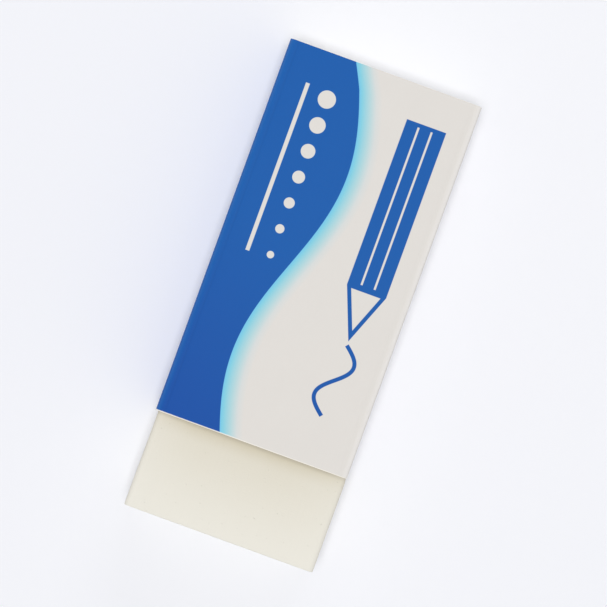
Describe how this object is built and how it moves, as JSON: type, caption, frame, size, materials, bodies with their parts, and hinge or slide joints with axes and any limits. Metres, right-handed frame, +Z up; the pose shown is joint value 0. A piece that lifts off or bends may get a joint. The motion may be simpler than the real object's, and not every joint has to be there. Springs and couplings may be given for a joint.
{
  "type": "rubber eraser",
  "caption": "Flat foam eraser block in a folded and glued card sleeve that slides along it, with the block's bare end standing out at the front.",
  "frame": {"origin": "under the middle of the whole part, on the surface that it lies on, with the sleeve at rest", "axes": "+X across the block, +Y along it towards the covered end, so the bare end is at -Y, +Z up"},
  "size_m": [0.0244, 0.0596, 0.0124],
  "materials": {
    "eraser_foam": "matte",
    "printed_card": "satin"
  },
  "bodies": {
    "block": {"eraser_block": "eraser_foam"},
    "sleeve": {"card_sleeve": "printed_card"}
  },
  "joints": [
    {"name": "sleeve_slide", "type": "slide", "parent": "block", "child": "sleeve", "axis": [0, 1, 0], "range_m": [-0.06, 0.0475]}
  ]
}
